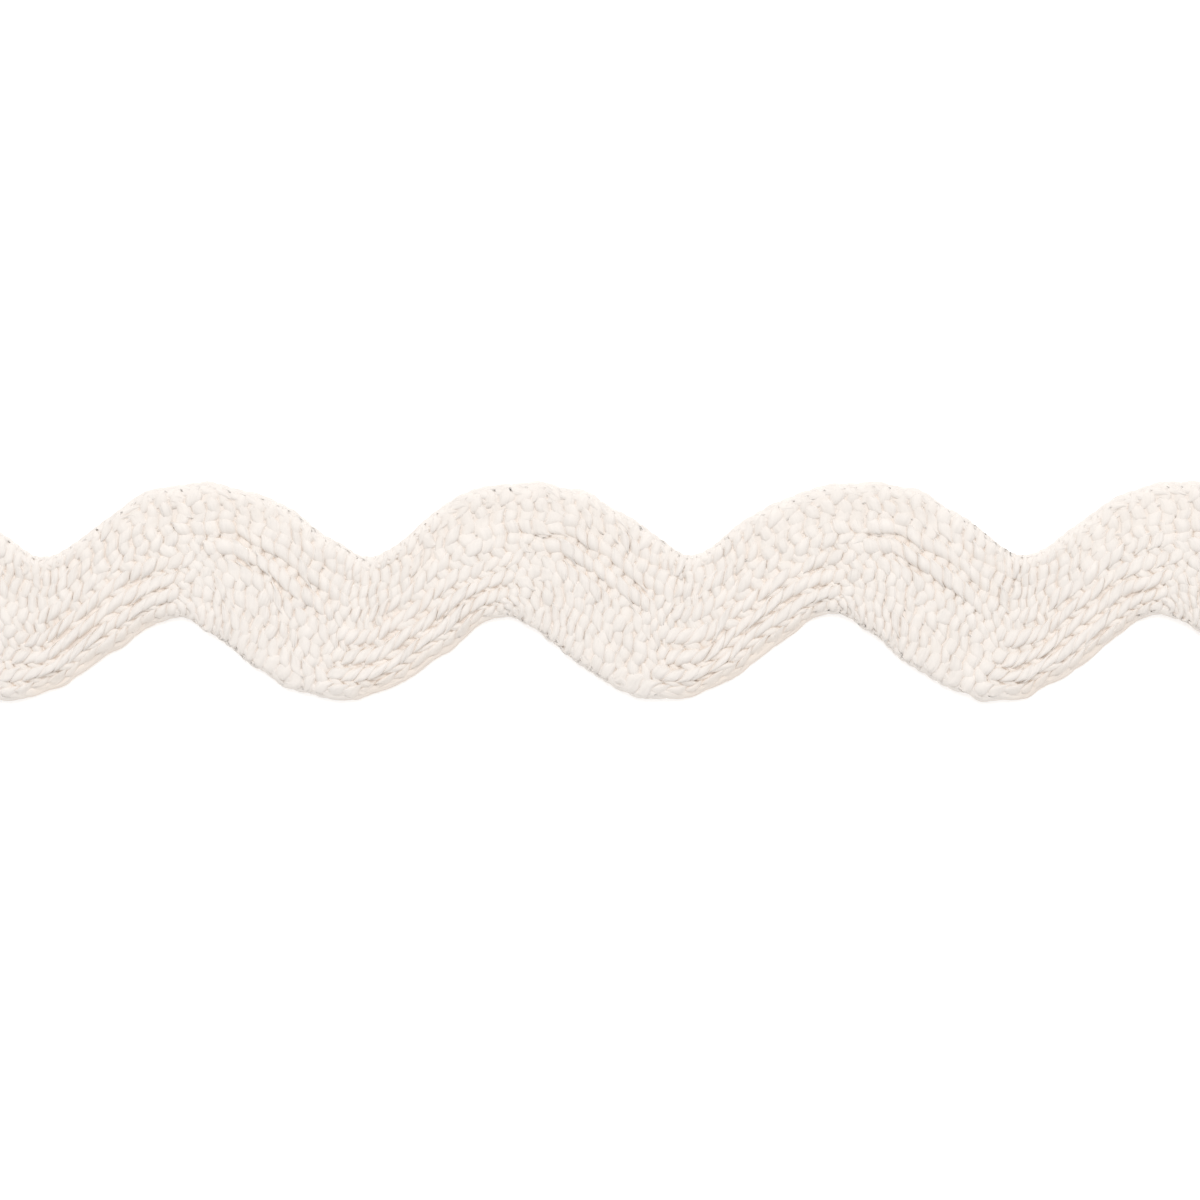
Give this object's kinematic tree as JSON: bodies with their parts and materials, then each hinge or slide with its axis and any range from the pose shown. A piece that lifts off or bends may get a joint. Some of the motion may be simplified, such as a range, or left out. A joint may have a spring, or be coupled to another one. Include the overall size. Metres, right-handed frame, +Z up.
{
  "type": "length of ric rac trim",
  "caption": "Flat cut length of wide cream cotton ric rac: a braid whose edges swing in even waves, with raised ropes on its climbing parts.",
  "frame": {"origin": "middle of the bounding box's underside, on the face that the trim lies on", "axes": "+X along the trim, from cut end to cut end; +Y across it, in the plane of its waves; +Z up out of its upper face"},
  "size_m": [0.114, 0.016, 0.0019],
  "materials": {
    "cotton_braid": "soft undyed cotton braid, matt with a faint sheen along each end"
  },
  "bodies": {
    "root": {"ric_rac_band": "cotton_braid"}
  },
  "joints": []
}
